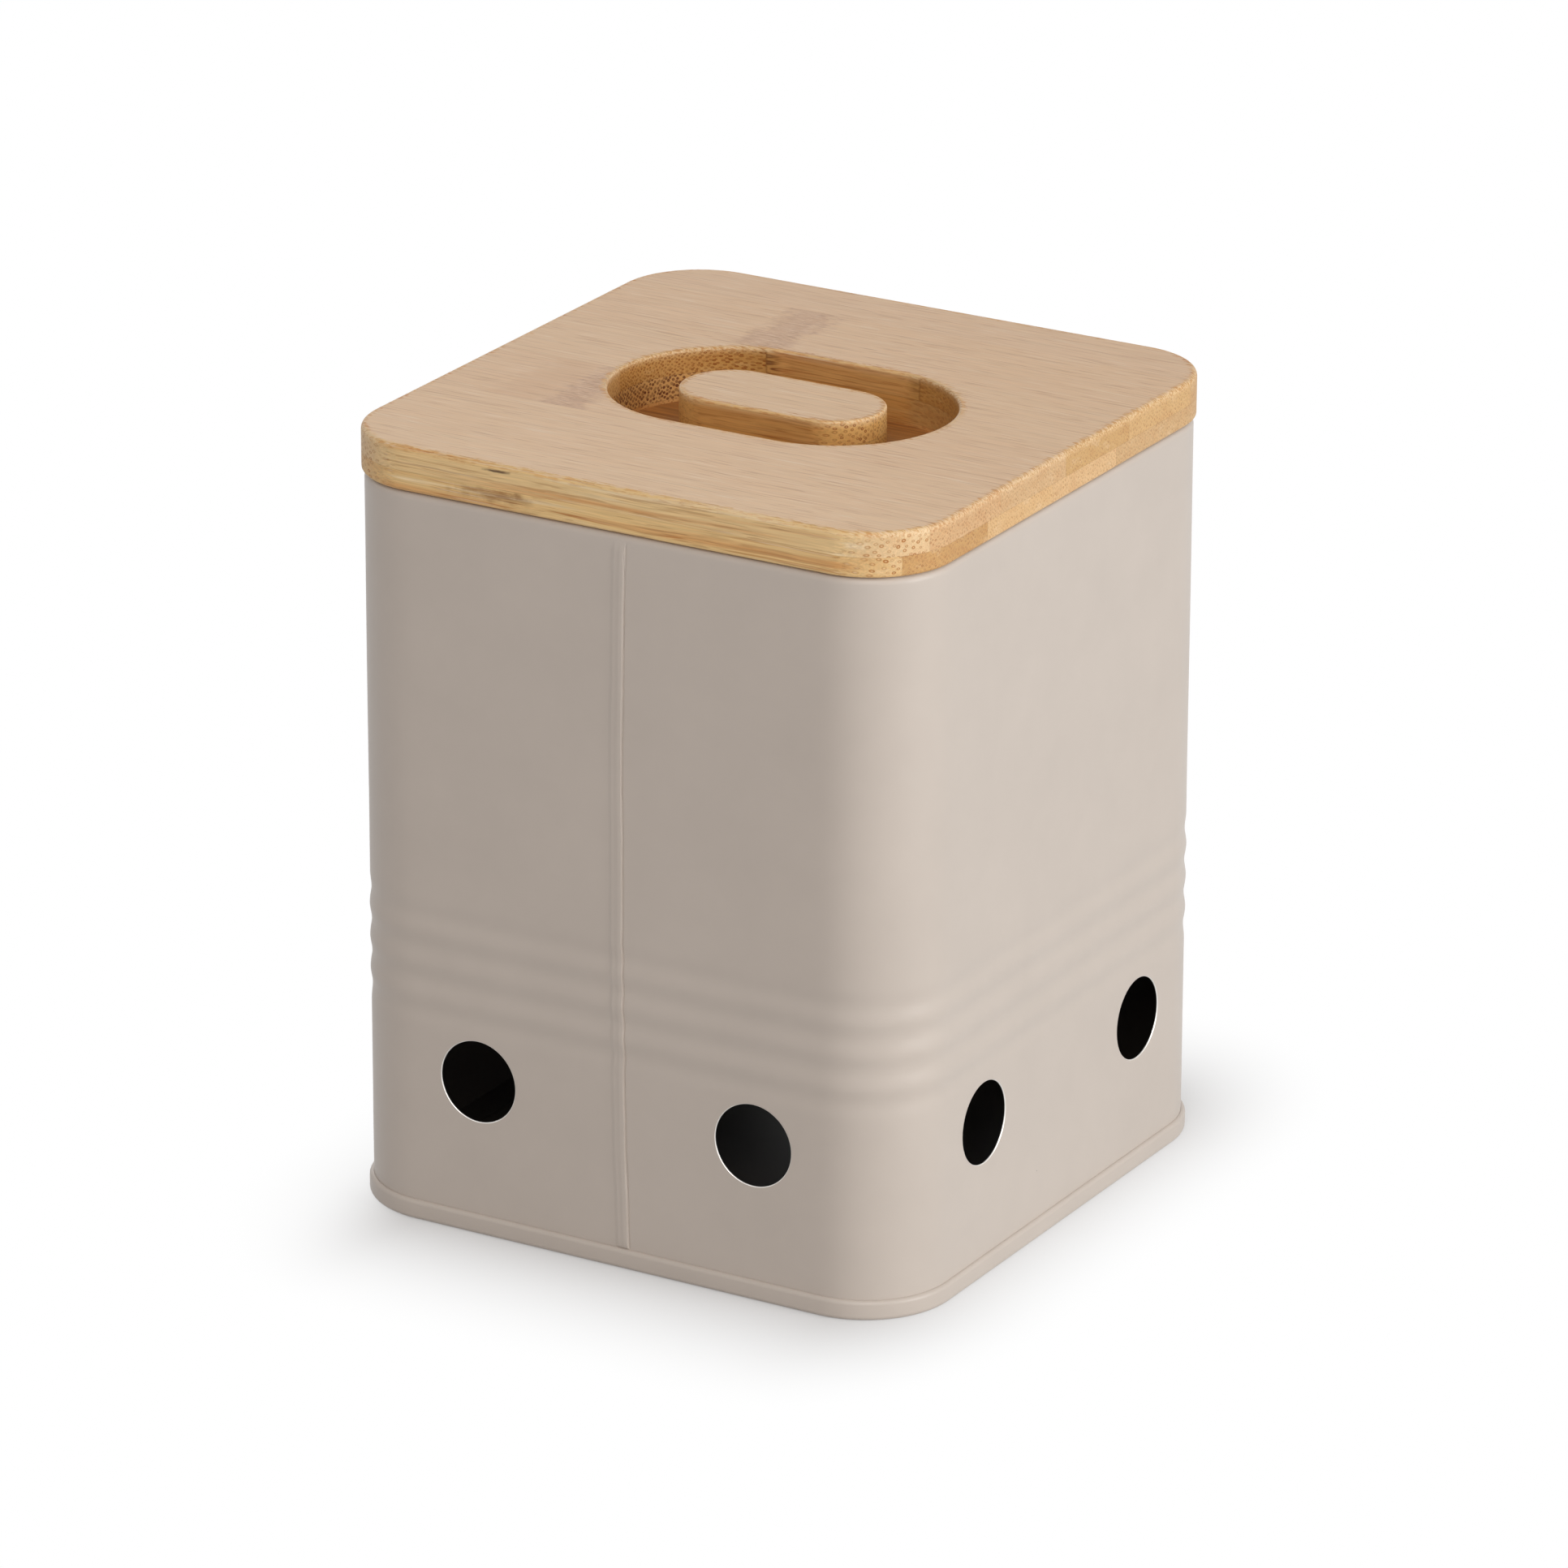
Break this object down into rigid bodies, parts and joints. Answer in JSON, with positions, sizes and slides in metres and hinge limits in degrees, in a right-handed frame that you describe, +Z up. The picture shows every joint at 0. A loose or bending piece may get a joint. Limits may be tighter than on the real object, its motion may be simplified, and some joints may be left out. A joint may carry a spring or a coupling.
{
  "type": "square storage tin with lid",
  "caption": "Rounded square painted tin with beads, side vents and a lift-off laminated bamboo lid that has a grip pocket.",
  "frame": {"origin": "centre of the tin's foot, on the surface that it stands on", "axes": "+Z up, -Y out of the front face with the lock seam, +X to that face's right"},
  "size_m": [0.2028, 0.2028, 0.2515],
  "materials": {
    "wall_paint": "satin warm grey paint",
    "pan_paint": "satin warm grey paint",
    "bamboo_upper": "sanded and clear-coated bamboo",
    "bamboo_middle": "sanded and clear-coated bamboo",
    "bamboo_plug": "sanded and clear-coated bamboo",
    "seal": "matt translucent silicone"
  },
  "bodies": {
    "bin": {"body_shell": "wall_paint", "base_pan": "pan_paint"},
    "lid": {"seal_ring": "seal", "upper_strip_1": "bamboo_upper", "upper_strip_2": "bamboo_upper", "upper_strip_3": "bamboo_upper", "upper_strip_4": "bamboo_upper", "upper_strip_5": "bamboo_upper", "upper_strip_6": "bamboo_upper", "middle_strip_1": "bamboo_middle", "middle_strip_2": "bamboo_middle", "middle_strip_3": "bamboo_middle", "middle_strip_4": "bamboo_middle", "middle_strip_5": "bamboo_middle", "middle_strip_6": "bamboo_middle", "plug_strip_1": "bamboo_plug", "plug_strip_2": "bamboo_plug", "plug_strip_3": "bamboo_plug", "plug_strip_4": "bamboo_plug", "plug_strip_5": "bamboo_plug", "island_cap_1": "bamboo_upper", "island_cap_2": "bamboo_upper", "island_core_1": "bamboo_middle", "island_core_2": "bamboo_middle"}
  },
  "joints": [
    {"name": "lid_lift", "type": "slide", "parent": "bin", "child": "lid", "axis": [0, 0, 1], "range_m": [0, 0.24]}
  ]
}
